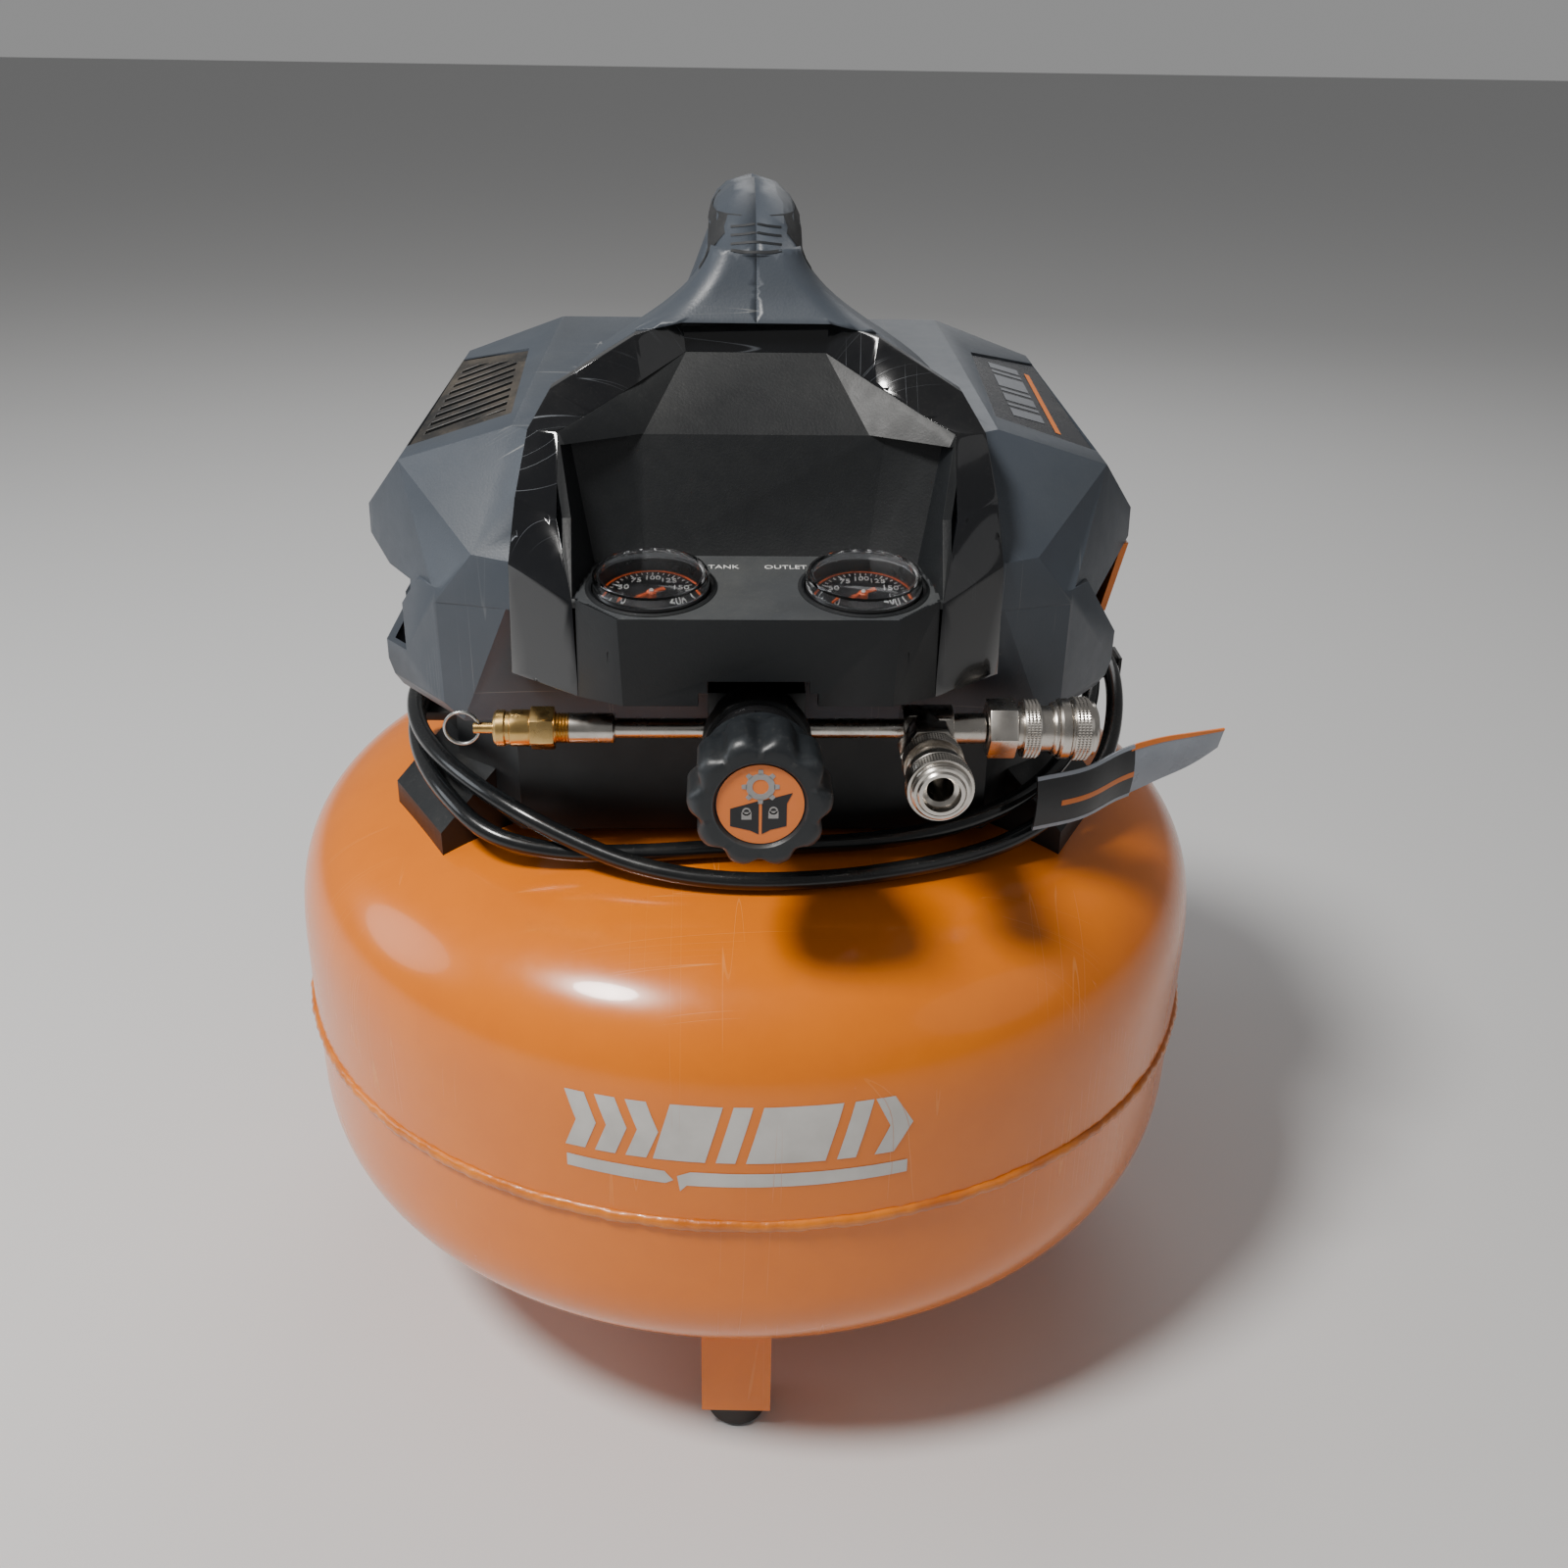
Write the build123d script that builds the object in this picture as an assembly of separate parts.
from build123d import *
import math
import os

# Pancake air compressor. Millimetres, +Z up, origin on the floor under the tank's axis, front towards -Y.

# ------------------------------------------------------------------ driving dimensions
TANK_R = 196.0
TANK_WALL = 2.5
SEAM_Z = 146.0
UPPER_BAND_TOP = 166.0
TANK_TOP = 252.6
LOWER_BAND_END = 117.0
TANK_BOTTOM = 40.5
UPPER_DOME_POWER = 3.69
LOWER_DOME_POWER = 2.77
BEAD_R = 3.0
BEAD_HALF = 2.4

FOOT_TURN = 2.2
FOOT_WIDTH = 28.5
FOOT_PLATE = 3.0
FOOT_RADIUS = 159.5
FOOT_TAB_Z = 12.0
PAD_R = 12.5

TRAY_FLOOR_Z = 254.0
TRAY_TOP_Z = 300.0
TRAY_WALL = 3.0
TRAY_OUTLINE = [(88, -97), (116, -62), (116, 62), (88, 97)]
LEG_AZIMUTH = 28.7
LEG_WIDTH = 52.0
REAR_LEG_DROP = 5.6
FRONT_LEG_DROP = 0.8
LEFT_CLEAT_TOP = 262.5
RIGHT_CLEAT_TOP = 283.0

SHELL = 3.0
SKIRT_TOP_Z = 350.0
HANDLE_TOP = 478.0
GRIP_W = 17.0
GRIP_H = 15.0

GAUGE_X = 36.0
GAUGE_R = 20.0
LEDGE_TILT = 7.1
AIR_Z = 306.0
AIR_Y = -118.0
PIPE_R = 3.6
KNOB_R = 23.5
LABEL_R = 14.2
KNOB_Z = 310.0
KNOB_FACE_Y = -187.0
FRONT_COUPLER_X = 60.0
SIDE_COUPLER_X = 82.0
SOCKET_R = 4.6
RING_R = 6.2

MOTOR_Y = 22.0
MOTOR_Z = 318.0
CYLINDER_X = -22.0
CHECK_VALVE_XY = (-66.0, 62.0)
STROKE = 24.0
CORD_R = 3.5


# ------------------------------------------------------------------ helpers
def save(name, shape):
    """Write one sub-part and say its volume."""
    solids = shape.solids()
    body = solids[0] if len(solids) == 1 else Compound(children=list(solids))
    export_step(body, f"parts/{name}.step")
    print(f"{name:24s} solids {len(solids)}  cm3 {sum(s.volume for s in solids) / 1000:.1f}")


def cylinder(start, direction, radius, length):
    """A cylinder from a start point along a direction."""
    plane = Plane(origin=start, z_dir=direction)
    return extrude(plane * Circle(radius), amount=length)


def tube(start, direction, outer, inner, length):
    """A round tube from a start point along a direction."""
    plane = Plane(origin=start, z_dir=direction)
    return extrude(plane * (Circle(outer) - Circle(inner)), amount=length)


def hexagon(start, direction, across, length):
    """A hexagonal prism, across is the distance over its flats."""
    plane = Plane(origin=start, z_dir=direction)
    return extrude(plane * RegularPolygon(across / 2, 6, major_radius=False), amount=length)


def block(low, high):
    """A box between two corners."""
    size = [b - a for a, b in zip(low, high)]
    centre = [(a + b) / 2 for a, b in zip(low, high)]
    return Pos(*centre) * Box(*size)


def mirrored(facets):
    """The facets together with their mirror images in X = 0."""
    return facets + [[(-x, y, z) for x, y, z in facet] for facet in facets]


def facet_body(facets, inset=0.0, inside=(0, 0, 340), size=400):
    """Intersection of half-spaces: each facet is three points, moved inwards by inset."""
    centre = Vector(*inside)
    body = Pos(*inside) * Box(size, size, size)
    for facet in facets:
        a, b, c = [Vector(*point) for point in facet]
        normal = (b - a).cross(c - a).normalized()
        if normal.dot(a - centre) < 0:
            normal = normal * -1
        plane = Plane(origin=a - normal * inset, z_dir=normal)
        body = split(body, bisect_by=plane, keep=Keep.BOTTOM)
    return body


def level(z):
    """Three points of a horizontal facet."""
    return [(0, 0, z), (10, 0, z), (0, 10, z)]


def upright(p, q):
    """Three points of a vertical facet through two plan points."""
    return [(p[0], p[1], 0), (q[0], q[1], 0), (p[0], p[1], 50)]


# ------------------------------------------------------------------ tank
def dome_points(radius, height, power, start_z, sign):
    """Points of a superelliptic dome, from its rim to the axis."""
    points = []
    steps = 10
    for i in range(steps + 1):
        angle = math.radians(90 * i / steps)
        r = radius * math.cos(angle) ** (2 / power)
        z = height * math.sin(angle) ** (2 / power)
        points.append((r if i < steps else 0.0, start_z + sign * z))
    return points


def dome_z(r):
    """Height of the tank's upper dome at a distance from its axis."""
    u = min(r / TANK_R, 1.0) ** UPPER_DOME_POWER
    return UPPER_BAND_TOP + (TANK_TOP - UPPER_BAND_TOP) * (1 - u) ** (1 / UPPER_DOME_POWER)


def half_tank(inset, band_end, crown_z, power, sign):
    """Solid of one end of the tank, from the seam to the crown, shrunk by inset."""
    radius = TANK_R - inset
    height = abs(crown_z - band_end) - inset
    points = dome_points(radius, height, power, band_end, sign)
    with BuildSketch(Plane.XZ) as section:
        with BuildLine():
            Line((0, SEAM_Z), (radius, SEAM_Z))
            Line((radius, SEAM_Z), (radius, band_end))
            Spline(points, tangents=[(0, sign), (-1, 0)])
            Line(points[-1], (0, SEAM_Z))
        make_face()
    return revolve(section.sketch, axis=Axis.Z)


def tank_parts():
    upper_solid = half_tank(0, UPPER_BAND_TOP, TANK_TOP, UPPER_DOME_POWER, 1)
    lower_solid = half_tank(0, LOWER_BAND_END, TANK_BOTTOM, LOWER_DOME_POWER, -1)
    upper = upper_solid - half_tank(TANK_WALL, UPPER_BAND_TOP, TANK_TOP, UPPER_DOME_POWER, 1)
    lower = lower_solid - half_tank(TANK_WALL, LOWER_BAND_END, TANK_BOTTOM, LOWER_DOME_POWER, -1)
    lower -= cylinder((0, 0, 30), (0, 0, 1), 6.0, 20)
    with BuildSketch(Plane.XZ) as section:
        with BuildLine():
            Line((TANK_R, SEAM_Z - BEAD_HALF), (TANK_R, SEAM_Z + BEAD_HALF))
            Polyline((TANK_R, SEAM_Z + BEAD_HALF), (TANK_R + 0.8 * BEAD_R, SEAM_Z + 0.6 * BEAD_HALF),
                     (TANK_R + BEAD_R, SEAM_Z), (TANK_R + 0.8 * BEAD_R, SEAM_Z - 0.6 * BEAD_HALF),
                     (TANK_R, SEAM_Z - BEAD_HALF))
        make_face()
    bead = revolve(section.sketch, axis=Axis.Z)
    save("tank_upper_shell", upper)
    save("tank_lower_shell", lower)
    save("tank_weld_bead", bead)
    return upper_solid, lower_solid


def foot_parts(lower_solid):
    reach = 26.0
    plate = block((-FOOT_WIDTH / 2, -FOOT_RADIUS, FOOT_TAB_Z), (FOOT_WIDTH / 2, -FOOT_RADIUS + FOOT_PLATE, 68))
    tab = block((-FOOT_WIDTH / 2, -FOOT_RADIUS, FOOT_TAB_Z),
                (FOOT_WIDTH / 2, -FOOT_RADIUS + reach, FOOT_TAB_Z + FOOT_PLATE))
    bracket = plate + tab
    bend = bracket.edges().filter_by(Axis.X).sort_by(Axis.Z)[:1]
    bracket = fillet(bend, 2.0) - lower_solid
    hole_y = -FOOT_RADIUS + 13.5
    bracket -= cylinder((0, hole_y, 0), (0, 0, 1), 3.0, 30)
    pad = cylinder((0, hole_y, 0), (0, 0, 1), PAD_R, FOOT_TAB_Z)
    pad = fillet(pad.edges().sort_by(Axis.Z)[:1], 4.0)
    pad += cylinder((0, hole_y, FOOT_TAB_Z), (0, 0, 1), 2.9, FOOT_PLATE)
    pad += cylinder((0, hole_y, FOOT_TAB_Z + FOOT_PLATE), (0, 0, 1), 5.0, 2.5)
    pads = []
    for i, side in enumerate(("front", "right", "rear", "left")):
        turn = Rot(0, 0, 90 * i - FOOT_TURN)
        save(f"foot_bracket_{side}", turn * bracket)
        pads.append(turn * pad)
    save("foot_pads", Compound(children=pads))


def drain_parts():
    body = hexagon((0, 0, 28), (0, 0, 1), 15, 12)
    body += cylinder((0, 0, 40), (0, 0, 1), 5.9, 4)
    body += cylinder((0, 0, 22), (0, 0, 1), 6.5, 6)
    body -= cylinder((0, 0, 20), (0, 0, 1), 3.05, 20)
    stem = cylinder((0, 0, 14), (0, 0, 1), 3.0, 24)
    handle = stem + block((-15, -2.2, 12), (15, 2.2, 19))
    handle += cylinder((0, 0, 12), (0, 0, 1), 6, 7)
    save("drain_valve_body", body)
    save("drain_valve_handle", handle)


# ------------------------------------------------------------------ base
def tray_outline(inset=0.0):
    """Closed plan outline of the tray, shrunk by inset."""
    points = TRAY_OUTLINE + [(-x, y) for x, y in reversed(TRAY_OUTLINE)]
    face = make_face(Polyline(*points, close=True))
    return face if inset == 0 else offset(face, amount=-inset, kind=Kind.INTERSECTION)


def cleats():
    """Arms on the tray's side walls that the wrapped cord rests on, the right one with a lip."""
    left = block((-147, -6, LEFT_CLEAT_TOP - 4), (-115, 8, LEFT_CLEAT_TOP))
    right = block((115, -6, RIGHT_CLEAT_TOP - 4), (160, 8, RIGHT_CLEAT_TOP))
    right += block((158.5, -6, RIGHT_CLEAT_TOP), (160, 8, RIGHT_CLEAT_TOP + 5))
    return left + right


def corner_leg(azimuth):
    """A wedge between the tray's corner and the dome. The rear ones are lower, since the cord lies on them."""
    drop = REAR_LEG_DROP if 0 < azimuth < 180 else FRONT_LEG_DROP
    profile = [(117, 228), (150.5, 228), (150.5, 252 - drop), (127, 274 - drop), (117, 274 - drop)]
    wedge = extrude(Plane.XZ * make_face(Polyline(*profile, close=True)), amount=LEG_WIDTH / 2, both=True)
    return Rot(0, 0, azimuth) * wedge


def base_parts(upper_solid):
    z0 = TRAY_FLOOR_Z
    outer = extrude(Pos(0, 0, z0) * tray_outline(), amount=TRAY_TOP_Z - z0)
    hollow = extrude(Pos(0, 0, z0 + TRAY_WALL) * tray_outline(TRAY_WALL), amount=TRAY_TOP_Z - z0)
    tray = outer - hollow + (cleats() - outer)
    bolt_holes = [(sx * 96, sy * 52) for sx in (-1, 1) for sy in (-1, 1)]
    for x, y in bolt_holes:
        tray -= cylinder((x, y, z0 - 1), (0, 0, 1), 3.5, 10)
    tray -= cylinder((*CHECK_VALVE_XY, z0 - 1), (0, 0, 1), 9.0, 10)
    save("base_tray", tray)

    legs = []
    for azimuth in (LEG_AZIMUTH, 180 - LEG_AZIMUTH, 180 + LEG_AZIMUTH, -LEG_AZIMUTH):
        leg = corner_leg(azimuth) - upper_solid - outer
        legs.append(max(leg.solids(), key=lambda s: s.volume))
    save("base_legs", Compound(children=legs))

    bolts = []
    for x, y in bolt_holes:
        bolt = hexagon((x, y, z0 + TRAY_WALL), (0, 0, 1), 10, 5) + cylinder((x, y, z0 - 0.5), (0, 0, 1), 3.3, 6)
        bolts.append(bolt)
    save("base_bolts", Compound(children=bolts))
    return outer


# ------------------------------------------------------------------ shroud
WING = mirrored([
    [(75, 56, 419), (119, 56, 403), (129, -65, 388)],
    [(0, 56, 417.5), (75, 56, 417.5), (80, -76, 402.5)],
    [(80, -76, 404), (129, -65, 388), (99, -103, 365)],
    [(129, -65, 388), (99, -103, 365), (114, -95, 345)],
    [(129, -65, 388), (114, -95, 345), (147, -38, 364)],
    [(129, -65, 388), (147, -38, 364), (119, 56, 403)],
    [(99, -103, 365), (114, -95, 345), (86, -110, 367)],
    [(147, -38, 364), (147, -38, 353), (149, 50, 358)],
    [(147, -38, 353), (149, 50, 353), (128, 0, 338)],
    [(114, -95, 345), (85, -111, 348), (100, -90, 334)],
    [(119, 56, 403), (149, 50, 360), (106, 122, 352)],
    [(119, 56, 403), (75, 56, 419), (100, 124, 352)],
    [(0, 56, 418), (75, 56, 418), (40, 130, 360)],
    upright((114, 118), (149, 50)),
]) + [upright((-50, 131), (50, 131)), upright((-50, -112), (50, -112)), level(330)]

SKIRT = mirrored([
    [(127, 0, 342), (140, -65, 322), (140, 65, 322)],
    upright((140, -60), (140, 60)),
    [(140, -60, 310), (140, 60, 310), (117, 0, 264)],
    upright((86, -110), (114, -94.5)),
    upright((114, -94.5), (140, -62)),
    upright((114, 94), (140, 62)),
    [(114, -94, 305), (140, -62, 305), (104, -70, 268)],
    [(114, 94, 305), (140, 62, 305), (104, 70, 268)],
]) + [[(0, -109, 346), (50, -109, 346), (0, -98.5, 300)],
     upright((-50, 127), (50, 127)), level(SKIRT_TOP_Z), level(TRAY_TOP_Z)]

ARCH = [
    # outer and inner point of each station of the bezel, from its foot to the middle of its top
    [(86, -113, 325), (61, -134, 325)],
    [(85, -113, 365), (62, -132, 358)],
    [(82, -108, 387), (68, -112, 381)],
    [(78, -97, 407), (67, -101, 407.5)],
    [(71, -84, 418), (57, -91, 411.5)],
    [(42.5, -70, 433.5), (40, -77, 419.5)],
    [(26, -58, 437), (24.8, -62, 426.5)],
]
FRONT_BOX = mirrored([
    [(45, -149, 329), (61, -134, 325), (61, -132, 358)],
    [(61, -134, 325), (61, -132, 358), (61, -100, 340)],
]) + [
    [(45, -149, 329), (-45, -149, 329), (42, -146, 357)],
    [(0, -98, 363.2), (30, -98, 363.2), (0, -146, 357.2)],
    [(45, -149, 328), (-45, -149, 328), (60, -134, 325)],
    upright((-50, -98.3), (50, -98.3)),
]
RECESS_LOW = mirrored([
    [(62, -132, 358), (56, -104, 361), (67, -101, 407.5)],
    [(39, -98, 363), (56, -104, 361), (62, -96, 392)],
]) + [
    [(0, -98, 363.2), (30, -98, 363.2), (0, -146, 357.2)],
    [(0, -98, 363), (30, -98, 363), (0, -87, 403.5)],
    level(403.5),
]
RECESS_HIGH = mirrored([
    [(24.8, -62, 426.5), (38, -87, 402.5), (67, -101, 407.5)],
    [(24.8, -62, 426.5), (67, -101, 407.5), (67, -150, 407.5)],
    [(62, -132, 358), (56, -104, 361), (67, -101, 407.5)],
]) + [
    [(0, -87, 403.5), (30, -87, 403.5), (0, -62, 426.5)],
    [(24.8, -62, 426.5), (-24.8, -62, 426.5), (24, -110, 432)],
    level(397),
]
RECESS_LOW_INSIDE = (0, -112, 380)
RECESS_HIGH_INSIDE = (0, -140, 410)
BOX_INSIDE = (0, -125, 340)
BEZEL_DEPTH = 8.0
ROOF_QUAD = [(90, 24), (121, 47), (128, -52), (88, -58)]
PLATE_DEPTH = 3.0


def roof_height(x, y):
    """Height of the sloping outer roof facet."""
    return (2347956 - 1936 * abs(x) + 500 * y) / 5324


def roof_prism(side, grow, low, high):
    """A four-sided plate in the outer roof facet, between two depths below it."""
    cx = sum(p[0] for p in ROOF_QUAD) / 4
    cy = sum(p[1] for p in ROOF_QUAD) / 4
    corners = []
    for x, y in ROOF_QUAD:
        dx, dy = x - cx, y - cy
        scale = 1 + grow / math.hypot(dx, dy)
        corners.append((side * (cx + dx * scale), cy + dy * scale))
    plane = Plane(origin=(side * cx, cy, roof_height(cx, cy)), z_dir=(side * 0.340, -0.088, 0.936))
    points = [plane.to_local_coords(Vector(x, y, roof_height(x, y))) for x, y in corners]
    outline = make_face(Polyline(*[(p.X, p.Y) for p in points], close=True))
    return extrude(plane * Pos(0, 0, low) * outline, amount=high - low)


def leg_section(z, half_x, y_front, y_back, corner):
    """A horizontal rounded section of a handle leg."""
    middle = (y_front + y_back) / 2
    shape = RectangleRounded(2 * half_x, y_back - y_front, corner)
    return Pos(0, middle, z) * shape


def arch_band(front, back):
    """The bezel's arch between two offsets in Y, with straight sides from station to station."""
    stations = ARCH + [[(-x, y, z) for x, y, z in station] for station in reversed(ARCH)]
    sections = []
    for outer, inner in stations:
        corners = [(outer[0], outer[1] + front, outer[2]), (inner[0], inner[1] + front, inner[2]),
                   (inner[0], inner[1] + back, inner[2]), (outer[0], outer[1] + back, outer[2])]
        sections.append(make_face(Polyline(*corners, close=True)))
    return loft(sections, ruled=True)


def recess_body(grow=0.0):
    """The open space above the ledge: a lower part and an upper part whose back leans away."""
    lower = facet_body(RECESS_LOW, -grow, inside=RECESS_LOW_INSIDE, size=200)
    upper = facet_body(RECESS_HIGH, -grow, inside=RECESS_HIGH_INSIDE, size=200)
    return lower + upper


def handle_shape():
    """Front neck, rear leg and the arched grip between them."""
    front = loft([
        leg_section(396, 74, -92, -40, 12),
        leg_section(418, 65, -84, -38, 12),
        leg_section(432, 46, -70, -34, 11),
        leg_section(443, 29, -60, -30, 10),
        leg_section(452, 20, -56, -27, 9),
        leg_section(460, 16, -53, -25, 8),
    ])
    rear = loft([
        leg_section(400, 44, 34, 96, 12),
        leg_section(420, 31, 42, 88, 11),
        leg_section(436, 24, 47, 81, 10),
        leg_section(452, 18, 48, 74, 8),
    ])
    centre_z = HANDLE_TOP - GRIP_H
    line = Spline([(0, -42, 450), (0, -26, centre_z - 1.5), (0, 8, centre_z), (0, 44, centre_z - 3),
                   (0, 62, 446)], tangents=[(0, 0.55, 0.8), (0, 0.35, -1)])
    start = Plane(origin=line @ 0, z_dir=line % 0, x_dir=(1, 0, 0))
    grip = sweep(start * Ellipse(GRIP_W, GRIP_H), path=line)
    return front, rear, grip


def shroud_parts(tray_outer):
    wing = facet_body(WING)
    skirt = facet_body(SKIRT)
    front, rear, grip = handle_shape()
    inner = facet_body(WING, SHELL) + facet_body(SKIRT, SHELL)
    inner += block((-100, -90, TRAY_TOP_Z - 1), (100, 90, TRAY_TOP_Z + 10))
    outer = wing + skirt + front + rear + grip
    shell = outer - inner
    shell -= arch_band(-80, BEZEL_DEPTH)
    shell -= recess_body(SHELL)
    shell -= facet_body(FRONT_BOX, -0.2, inside=BOX_INSIDE, size=200)
    shell -= tray_outer

    slot_count = 9
    for i in range(slot_count):
        x = -60 + 15 * i
        shell -= block((x - 3.5, 120, 310), (x + 3.5, 140, 345))
    insert = grip_insert(grip)
    shell -= insert
    save("handle_grip", insert)

    half = shell & block((-200, -200, 200), (0, 200, 500))
    left = half - roof_prism(-1, 0.0, -PLATE_DEPTH - 1.0, 20) - roof_prism(-1, -6.0, -40, 20)
    left -= block((-160, -74, 318), (-119, -20, 346))
    right = mirror(half, Plane.YZ) - roof_prism(1, 0.0, -PLATE_DEPTH - 1.0, 20)
    save("shroud_left", max(left.solids(), key=lambda s: s.volume))
    save("shroud_right", max(right.solids(), key=lambda s: s.volume))


def grip_insert(grip):
    """Soft lower half of the grip between the legs."""
    return grip & block((-30, -26, 440), (30, 42, HANDLE_TOP - GRIP_H - 3))


def roof_parts():
    plate_low, plate_high = -PLATE_DEPTH - 0.8, -0.8
    frame = roof_prism(-1, -0.4, plate_low, plate_high)
    vent = frame - roof_prism(-1, -10, -20, 20)
    slat_count = 10
    for i in range(slat_count):
        y = -46 + 8.6 * i
        slat = block((-140, y, 370), (-60, y + 4.2, 430)) & roof_prism(-1, -7, plate_low, plate_high)
        vent += slat
    save("vent_grille", max(vent.solids(), key=lambda s: s.volume))
    badge = roof_prism(1, -0.4, plate_low, plate_high)
    save("badge_plate", badge)


def side_parts():
    trim = facet_body([
        [(147, -45, 352), (139.5, 0, 323.5), (147, 45, 352)],
        [(144, -45, 352), (136.5, 0, 323.5), (144, 45, 352)],
        level(324.2), level(351),
        upright((147, -42), (130, -50)),
        upright((147, 42), (130, 50)),
    ], inside=(141.5, 0, 336), size=120)
    trim = trim - facet_body(WING, -0.2) - facet_body(SKIRT, -0.2)
    save("side_trim", max(trim.solids(), key=lambda s: s.volume))


# ------------------------------------------------------------------ console
def console_parts():
    void = recess_body()
    liner = recess_body(SHELL - 0.2) - void
    opening = Polyline((-62, 426.5), (-101, 407.5), (-112, 381), (-132, 358), (-132, 300), (-300, 300), (-300, 500),
                       (-62, 500), close=True)
    liner -= extrude(Plane.YZ * make_face(opening), amount=150, both=True)
    box = facet_body(FRONT_BOX, inside=BOX_INSIDE, size=200)
    hollow = block((-57, -144, 300), (57, -101.5, 352)) & facet_body(FRONT_BOX, SHELL, inside=BOX_INSIDE, size=200)
    hollow += block((-50, -143.5, 300), (50, -104, 345))
    panel = box + (liner - arch_band(-80, BEZEL_DEPTH)) - void - hollow
    panel -= block((-17, -160, 300), (17, -140, 336.5)) + block((-20, -160, 300), (20, -140, 332.5))
    for side in (-1, 1):
        panel -= gauge_plane(side) * Pos(0, 0, 1) * extrude(Circle(GAUGE_R + 0.3), amount=-41)
    save("console_panel", max(panel.solids(), key=lambda s: s.volume))
    bezel = arch_band(0, BEZEL_DEPTH - 0.2) - facet_body(FRONT_BOX, -0.2, inside=BOX_INSIDE, size=200)
    save("console_bezel", max(bezel.solids(), key=lambda s: s.volume))


def gauge_plane(side):
    """Plane of a gauge's face, in the tilted ledge."""
    angle = math.radians(LEDGE_TILT)
    return Plane(origin=(side * GAUGE_X, -122, 360.2), x_dir=(1, 0, 0), z_dir=(0, -math.sin(angle), math.cos(angle)))


def gauge_parts(side, name):
    seat = gauge_plane(side)
    case = seat * Pos(0, 0, -16) * extrude(Circle(GAUGE_R), amount=17.5)
    case -= seat * Pos(0, 0, -4) * extrude(Circle(GAUGE_R - 1.2), amount=10)
    case += seat * Pos(0, 0, -26) * extrude(Circle(5), amount=10)
    dial = seat * Pos(0, 0, -4) * extrude(Circle(GAUGE_R - 1.4) - Circle(1.05), amount=0.8)
    case -= seat * Pos(0, 0, -10) * extrude(Circle(1.05), amount=7)
    needle = seat * Pos(0, 0, -9) * extrude(Circle(1.0), amount=7)
    needle += seat * Pos(0, 0, -2.6) * extrude(Circle(2.4), amount=0.8)
    needle += seat * Pos(0, 0, -2.6) * extrude(Rot(0, 0, 225) * Pos(4.5, 0) * Rectangle(17, 1.2), amount=0.6)
    dome = seat * Pos(0, 0, 1.5) * lens_shape()
    save(f"{name}_case", case)
    save(f"{name}_dial", dial)
    save(f"{name}_needle", needle)
    save(f"{name}_lens", dome)


def lens_shape():
    """A domed clear lens, flat at its rim, with its base in the XY plane."""
    rim = GAUGE_R - 0.5
    crown, wall = 3.3, 1.8
    bend = 65.0
    disc = cylinder((0, 0, 0), (0, 0, 1), rim, crown + 1)
    return (disc & Pos(0, 0, crown - bend) * Sphere(bend)) - Pos(0, 0, crown - wall - bend) * Sphere(bend)


# ------------------------------------------------------------------ air side
def regulator_parts():
    z, back = KNOB_Z, AIR_Y
    body = block((-17, back - 8, z - 15), (17, -104.2, z + 13))
    body += cylinder((0, back - 8, z), (0, -1, 0), 16.5, 20)
    body -= cylinder((0, KNOB_FACE_Y, z), (0, 1, 0), 5.05, 58)
    collar = tube((0, -136, z), (0, -1, 0), 18.8, 16.55, 8)
    neck = tube((0, -146, z), (0, -1, 0), 16.2, 6.0, 9.5)
    for i in range(8):
        neck -= Pos(0, 0, z) * Rot(0, 45 * i, 0) * block((13.5, -160, -1.2), (20, -148, 1.2))
    body += neck
    spindle = cylinder((0, -131, z), (0, -1, 0), 5.0, 41)
    inner_y = -157.0
    depth = inner_y - (KNOB_FACE_Y + 1.2)
    knob = cylinder((0, inner_y, z), (0, -1, 0), KNOB_R - 1.5, depth)
    lobes = 10
    for i in range(lobes):
        angle = 2 * math.pi * i / lobes
        lobe = cylinder(((KNOB_R - 3.6) * math.cos(angle), inner_y - 4, z + (KNOB_R - 3.6) * math.sin(angle)),
                        (0, -1, 0), 4.4, depth - 6)
        knob += lobe
    knob -= cylinder((0, inner_y + 1, z), (0, -1, 0), 5.05, 16)
    knob -= cylinder((0, KNOB_FACE_Y, z), (0, 1, 0), LABEL_R + 0.3, 2.2)
    label = cylinder((0, KNOB_FACE_Y + 1.4, z), (0, 1, 0), LABEL_R, 0.8)
    save("regulator_body", body)
    save("regulator_collar", collar)
    save("regulator_spindle", spindle)
    save("regulator_knob", knob)
    save("regulator_label", label)


def manifold_parts():
    pipe = cylinder((-66, AIR_Y, AIR_Z), (1, 0, 0), PIPE_R, 66 - 17)
    pipe += cylinder((-66, AIR_Y, AIR_Z), (1, 0, 0), 5.4, 16)
    save("manifold_pipe_left", pipe)
    save("manifold_pipe_right", cylinder((17, AIR_Y, AIR_Z), (1, 0, 0), PIPE_R, 52 - 17))
    tee = cylinder((52, AIR_Y, AIR_Z), (1, 0, 0), 8.5, 18)
    tee += cylinder((FRONT_COUPLER_X, AIR_Y, AIR_Z), (0, -1, 0), 7.5, 13)
    tee += cylinder((70, AIR_Y, AIR_Z), (1, 0, 0), 5.5, SIDE_COUPLER_X - 70)
    save("manifold_tee", tee)


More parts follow.
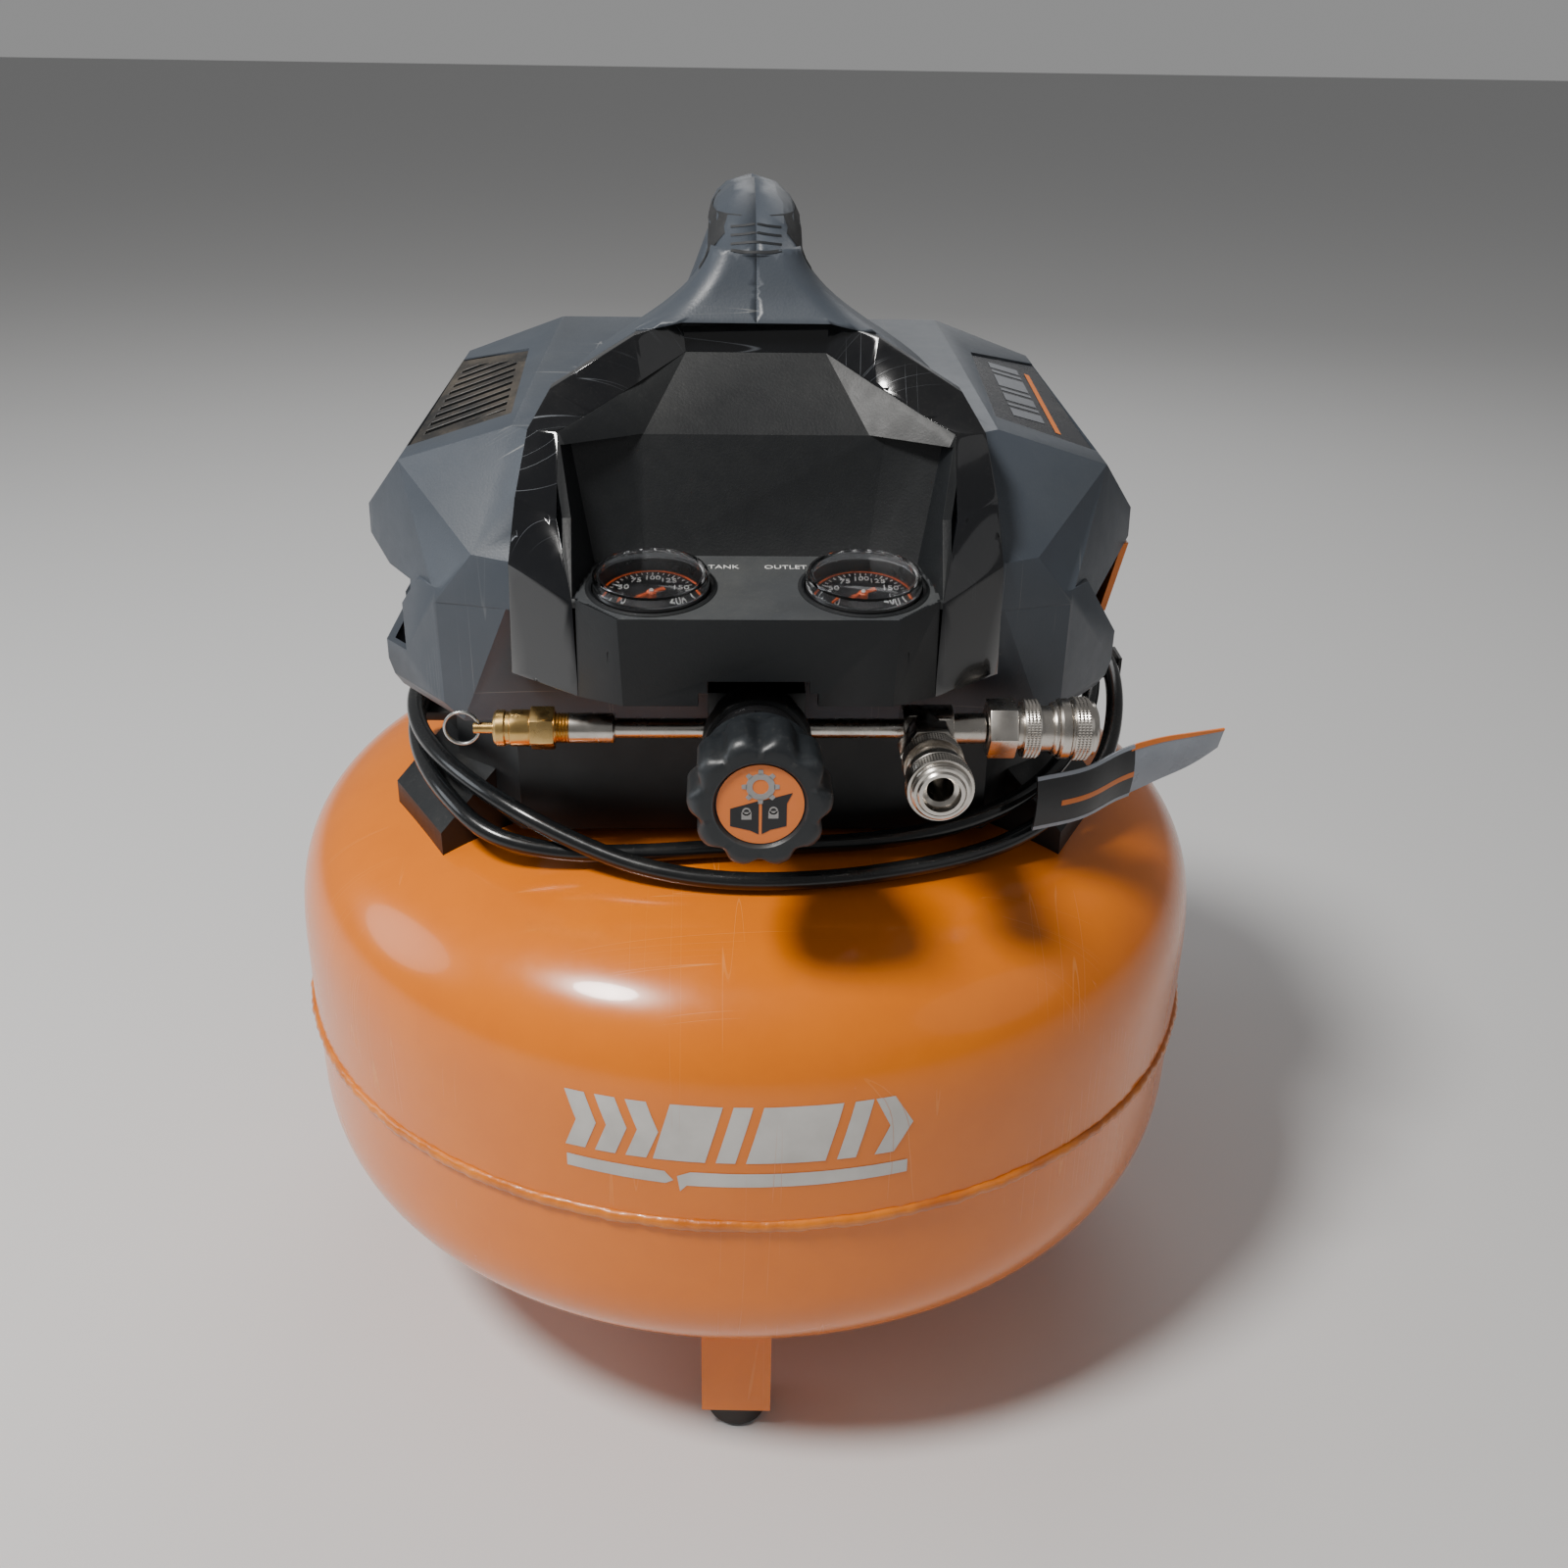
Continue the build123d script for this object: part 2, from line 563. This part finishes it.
def coupler(start, direction, name):
    """A quick coupler: threaded end with hex, knurled body and a sprung sleeve round its nose."""
    x, y, z = start
    dx, dy, dz = direction

    def at(distance):
        return (x + dx * distance, y + dy * distance, z + dz * distance)

    body = hexagon(at(0), direction, 19, 11)
    body += cylinder(at(11), direction, 8.0, 2)
    body += cylinder(at(13), direction, 10.6, 6)
    body += cylinder(at(19), direction, 8.2, 21)
    body -= cylinder(at(18), direction, SOCKET_R, 30)
    sleeve = tube(at(25.5), direction, 11.4, 8.28, 12)
    sleeve += tube(at(23.8), direction, 9.6, 8.28, 1.7)
    nose = tube(at(37.5), direction, 10.0, 8.28, 1.8)
    save(f"{name}_body", body)
    save(f"{name}_sleeve", sleeve + nose)


def safety_valve_parts():
    x0 = -66.0
    body = cylinder((x0, AIR_Y, AIR_Z), (-1, 0, 0), 5.6, 5)
    body += hexagon((x0 - 5, AIR_Y, AIR_Z), (-1, 0, 0), 14, 9)
    body += cylinder((x0 - 14, AIR_Y, AIR_Z), (-1, 0, 0), 6.6, 13)
    body -= cylinder((x0 - 10, AIR_Y, AIR_Z), (-1, 0, 0), 2.05, 30)
    stem = cylinder((x0 - 11, AIR_Y, AIR_Z), (-1, 0, 0), 2.0, 23)
    stem -= cylinder((x0 - 31.9, AIR_Y, AIR_Z - 5), (0, 0, 1), 1.2, 10)
    ring = Pos(x0 - 32 - RING_R, AIR_Y, AIR_Z) * Rot(90, 0, 0) * Torus(RING_R, 0.6)
    save("safety_valve_body", body)
    save("safety_valve_stem", stem)
    save("safety_pull_ring", ring)


# ------------------------------------------------------------------ electrics and pump
def switch_parts():
    housing = block((-112, -72, 304), (-92, -22, 338))
    housing += cylinder((-112, -47, 331), (-1, 0, 0), 3.0, 4)
    lever = cylinder((-114.5, -47, 331), (-1, 0, 0), 5.5, 6)
    lever += block((-120.5, -50, 333), (-114.5, -44, 345))
    lever += block((-131, -50, 326), (-120.5, -44, 338))
    lever -= cylinder((-112, -47, 331), (-1, 0, 0), 3.05, 4.1)
    save("pressure_switch", housing)
    save("switch_lever", lever)


def motor_parts():
    y, z = MOTOR_Y, MOTOR_Z
    floor = TRAY_FLOOR_Z + TRAY_WALL
    stator = tube((14, y, z), (1, 0, 0), 44, 32, 66)
    stator += tube((80, y, z), (1, 0, 0), 44, 6.05, 4)
    stand = block((20, y - 36, floor), (74, y + 36, z - 34))
    stator += stand - cylinder((0, y, z), (1, 0, 0), 38, 90)
    crank = STROKE / 2
    rotor = cylinder((20, y, z), (1, 0, 0), 31, 54)
    rotor += cylinder((-6, y, z), (1, 0, 0), 6.0, 108)
    rotor += cylinder((-10, y, z), (1, 0, 0), 21, 8)
    rotor += cylinder((-10, y, z + crank), (-1, 0, 0), 5, 3)
    fan = tube((90, y, z), (1, 0, 0), 13, 6.0, 9)
    blades = 7
    for i in range(blades):
        fan += Pos(0, y, z) * Rot(360 * i / blades, 0, 0) * block((91, -1, 11), (98, 1, 36))
    low, high = (-46, y - 30, floor), (12, y + 30, z + 34)
    crankcase = block(low, high) - block((-41, y - 25, floor + 5), (5, y + 25, z + 30))
    crankcase -= cylinder((0, y, z), (1, 0, 0), 6.05, 20)
    crankcase -= cylinder((CYLINDER_X, y, z), (0, 0, 1), 22.0, 60)
    save("motor_stator", stator)
    save("motor_rotor", rotor)
    save("cooling_fan", fan)
    save("crankcase", crankcase)


def pump_parts():
    x, y = CYLINDER_X, MOTOR_Y
    bore = 22.0
    low = MOTOR_Z + 34
    barrel = tube((x, y, low), (0, 0, 1), bore + 3, bore, 34)
    fins = 3
    for i in range(fins):
        barrel += tube((x, y, low + 8 + 9 * i), (0, 0, 1), bore + 8, bore, 3)
    head = block((x - 29, y - 29, low + 34), (x + 29, y + 29, low + 46))
    save("cylinder", barrel)
    save("cylinder_head", head)
    piston = cylinder((x, y, low + 18), (0, 0, 1), bore - 0.05, 12)
    piston += block((x - 3.5, y - 6, MOTOR_Z + 22), (x + 3.5, y + 6, low + 18))
    piston += tube((x - 3.5, y, MOTOR_Z + STROKE / 2), (1, 0, 0), 11, 6.5, 7)
    save("piston_rod", piston)


def discharge_parts(upper_solid):
    x, y = CHECK_VALVE_XY
    foot = dome_z(math.hypot(x, y))
    valve = hexagon((x, y, foot - 4), (0, 0, 1), 14, 24) + cylinder((x, y, foot + 20), (0, 0, 1), 5, 6)
    save("check_valve", valve - upper_solid)
    start = (x, y, foot + 26)
    head_z = MOTOR_Z + 34 + 40
    route = [start, (x, y, 330), (x + 4, y + 8, 364), (x + 22, y + 14, head_z - 4), (CYLINDER_X, y + 9, head_z),
             (CYLINDER_X, MOTOR_Y + 29, head_z)]
    path = FilletPolyline(*route, radius=5)
    save("discharge_tube", sweep(Plane(origin=start, z_dir=(0, 0, 1)) * Circle(3.0), path=path))


# ------------------------------------------------------------------ cord
CORD_ROUTE = [
    (-40, 109, 284), (-62, 110, 281.5), (-84, 105, 277), (-103, 92, 272.5), (-118, 72, 271), (-131, 46, 272.8),
    (-140, 18, 274), (-142, -12, 274), (-136, -42, 273.5), (-124, -68, 272.5), (-108, -90, 271),
    (-89, -107, 267), (-66, -117, 259), (-40, -127, 253), (-8, -133, 251), (28, -131, 251), (58, -123, 251),
    (80, -114, 251), (101, -105, 254), (121, -93, 262), (138, -73, 268), (147, -52, 274), (152, -31, 283),
    (154, -4, 288), (151, 24, 285), (142, 50, 275), (127, 75, 264), (107, 100, 257), (80, 122, 252),
    (44, 137, 249.5), (4, 143, 249), (-36, 138, 250), (-67, 127, 253), (-92, 111, 258), (-115, 88, 263.5),
    (-131, 60, 265.5), (-140, 26, 266.2), (-142, -6, 266), (-138, -36, 266), (-130, -64, 266), (-118, -89, 265),
    (-100, -109, 257.5), (-74, -114, 253), (-47, -115, 253), (-16, -113, 254), (16, -111, 254.5), (47, -109, 255),
    (76, -107, 260), (102, -97, 266.5), (120, -77.5, 271), (134, -54, 278), (143, -28, 285.5), (146, 0, 288),
    (143, 25, 285), (134, 47, 276), (122, 68, 268.5), (107, 88, 265), (88, 104, 264), (66, 114, 264),
]
PLUG_START = CORD_ROUTE[-1]


def cord_parts():
    radii = []
    points = [Vector(*p) for p in CORD_ROUTE]
    for before, here, after in zip(points, points[1:], points[2:]):
        turn = math.radians((here - before).get_angle(after - here))
        run = min((here - before).length, (after - here).length)
        radii.append(0.45 * run / math.tan(turn / 2))
    path = FilletPolyline(*CORD_ROUTE, radius=radii)
    start = Plane(origin=CORD_ROUTE[0], z_dir=points[1] - points[0])
    cord = sweep(start * Circle(CORD_R), path=path)
    section = math.pi * CORD_R ** 2
    print("cord radii", min(radii), [round(r) for r in radii])
    print("cord length", path.length, "volume ratio", cord.volume / section / path.length)
    save("power_cord", cord)

    exit_point = CORD_ROUTE[0]
    gland = block((-20, 97, 275), (2, 118, 293)) + cylinder((-20, exit_point[1], exit_point[2]), (-1, 0, 0), 6.5, 6)
    gland += loft([Plane(origin=(-26, exit_point[1], exit_point[2]), z_dir=(-1, 0, 0)) * Circle(5.8),
                   Plane(origin=exit_point, z_dir=points[0] - points[1]) * Circle(4.6)])
    save("cord_gland", gland)

    along = (points[-1] - points[-2]).normalized()
    side = Plane(origin=PLUG_START, x_dir=Vector(0, 0, 1), z_dir=along)
    plug = loft([side * Circle(4.6), side * Pos(0, 0, 14) * Circle(6.0)])
    plug += loft([side * Pos(0, 0, 14) * RectangleRounded(19, 22, 5), side * Pos(0, 0, 36) * RectangleRounded(21, 26, 6)])
    for offset_y in (-6.35, 6.35):
        plug += side * Pos(0, offset_y, 36) * extrude(Rectangle(6.3, 1.5), amount=16)
    plug += side * Pos(-6, 0, 36) * extrude(Circle(2.4), amount=18)
    save("power_plug", plug)


def tag_parts():
    """The warning tag: a flat strip round the cord with a free tail."""
    line = [(104, -113), (124, -104), (142, -88), (158, -78), (174, -72), (186, -68)]
    ribbon = offset(Polyline(*line), amount=0.35, side=Side.BOTH)
    strip = extrude(Pos(0, 0, 262) * make_face(ribbon), amount=22)
    save("warning_tag", strip)


# ------------------------------------------------------------------ everything
def main():
    os.makedirs("parts", exist_ok=True)
    upper_solid, lower_solid = tank_parts()
    foot_parts(lower_solid)
    drain_parts()
    tray_outer = base_parts(upper_solid)
    shroud_parts(tray_outer)
    roof_parts()
    side_parts()
    console_parts()
    gauge_parts(-1, "gauge_tank")
    gauge_parts(1, "gauge_outlet")
    regulator_parts()
    manifold_parts()
    coupler((FRONT_COUPLER_X, AIR_Y - 13, AIR_Z), (0, -1, 0), "coupler_front")
    coupler((SIDE_COUPLER_X, AIR_Y, AIR_Z), (1, 0, 0), "coupler_side")
    safety_valve_parts()
    switch_parts()
    motor_parts()
    pump_parts()
    discharge_parts(upper_solid)
    cord_parts()
    tag_parts()


main()
